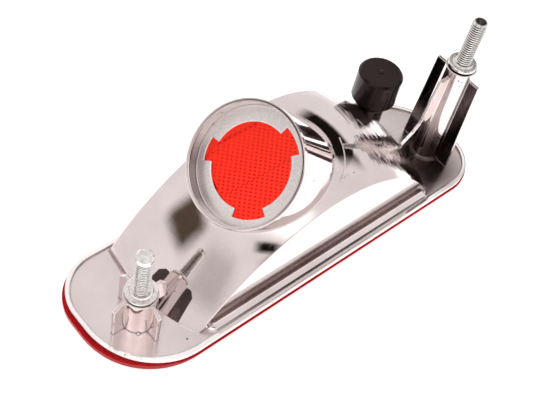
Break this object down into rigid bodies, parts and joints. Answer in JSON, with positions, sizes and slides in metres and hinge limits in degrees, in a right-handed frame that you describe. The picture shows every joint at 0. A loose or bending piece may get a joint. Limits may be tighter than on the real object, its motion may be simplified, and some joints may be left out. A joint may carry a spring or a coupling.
{
  "type": "rear fog lamp",
  "caption": "Long rear fog lamp: metallised reflector housing with a leaning bulb cup and keyed bulb hole, finned posts with threaded studs, a breather cap and a red lens.",
  "frame": {"origin": "centre of the overall outline, on the front face of the lens", "axes": "+X along the lamp towards the tall stud, +Y across it, +Z out of the back, the way the studs point"},
  "size_m": [0.183, 0.054, 0.0756],
  "materials": {
    "housing": "vacuum metallised plastic, mirror bright",
    "lens": "clear red moulding",
    "stud": "bright zinc plate",
    "vent_cap": "smooth black"
  },
  "bodies": {
    "root": {"housing": "housing", "lens": "lens", "stud_short": "stud", "stud_tall": "stud", "vent_cap": "vent_cap"}
  },
  "joints": []
}
